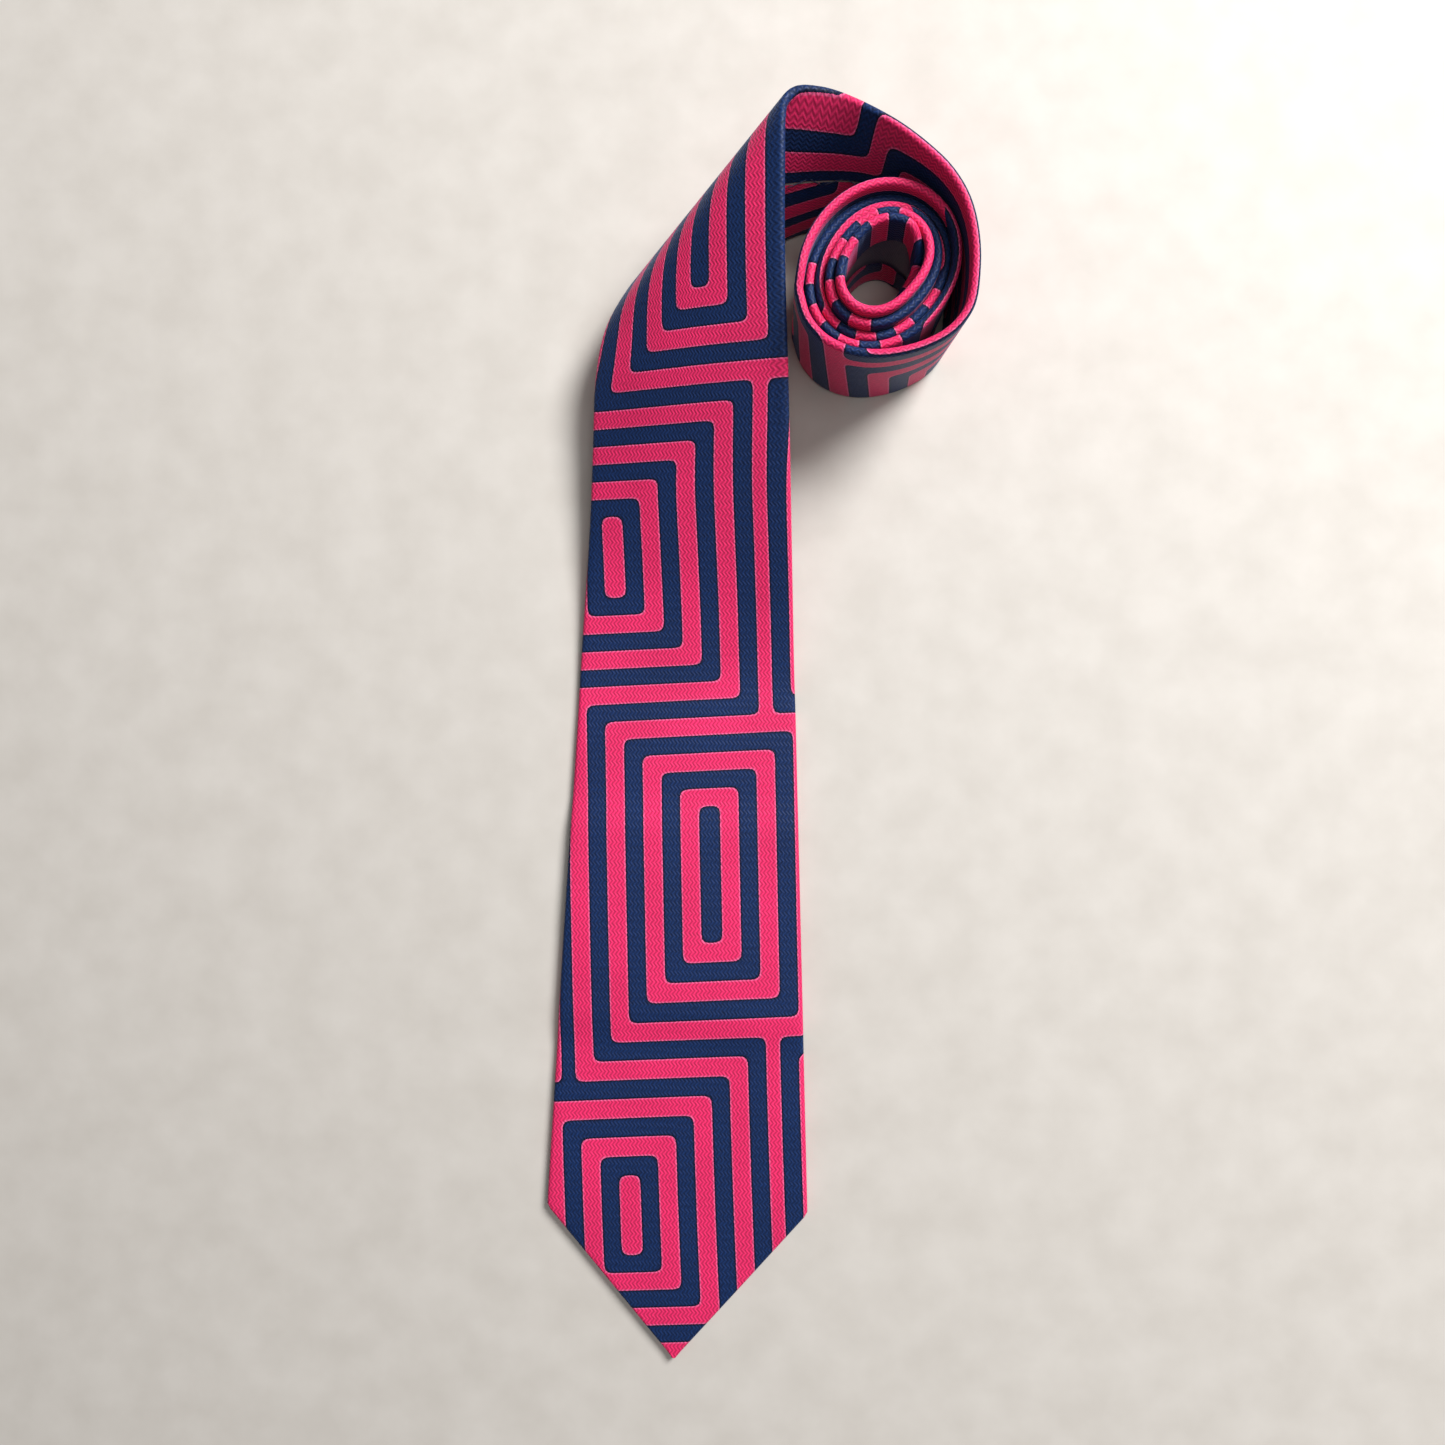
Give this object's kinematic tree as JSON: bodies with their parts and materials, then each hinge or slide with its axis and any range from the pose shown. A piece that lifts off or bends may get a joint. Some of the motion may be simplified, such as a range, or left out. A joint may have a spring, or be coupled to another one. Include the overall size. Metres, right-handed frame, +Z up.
{
  "type": "necktie",
  "caption": "Striped woven necktie put down part rolled: the pointed blade lies flat, rises to a folded corner and winds into a coil standing on edge.",
  "frame": {"origin": "middle of the part's bounding box, on the surface that the tie lies on", "axes": "+Y along the blade from its tip towards the roll, +X across the blade towards the side with the roll, +Z up"},
  "size_m": [0.1366, 0.421, 0.0525],
  "materials": {
    "jacquard_silk": "woven silk jacquard in crimson pink and navy, satin sheen",
    "wool_interlining": "brushed wool blend, matt",
    "lining_satin": "navy satin lining",
    "sewing_thread": "navy silk thread",
    "label_tape": "plain woven tape, blank",
    "keeper_cloth": "navy woven cloth"
  },
  "bodies": {
    "roll": {"shell_rise": "jacquard_silk", "shell_neck": "jacquard_silk", "shell_tail": "jacquard_silk", "interlining_rise": "wool_interlining", "interlining_tail": "wool_interlining", "tipping_tail": "lining_satin", "slip_stitch_roll": "sewing_thread", "bar_tack_tail": "sewing_thread"},
    "blade": {"shell_blade": "jacquard_silk", "interlining_blade": "wool_interlining", "tipping_blade": "lining_satin", "slip_stitch_blade": "sewing_thread", "slip_stitch_loop": "sewing_thread", "bar_tack_blade": "sewing_thread", "care_label": "label_tape", "care_label_stitch_left": "sewing_thread", "care_label_stitch_right": "sewing_thread", "keeper_loop": "keeper_cloth", "keeper_tack_left": "sewing_thread", "keeper_tack_right": "sewing_thread"}
  },
  "joints": [
    {"name": "blade_lift", "type": "hinge", "parent": "roll", "child": "blade", "pos_m": [-0.02231, 0.01455, 0.0028], "axis": [-1, 0, 0], "range_deg": [0, 80]}
  ]
}
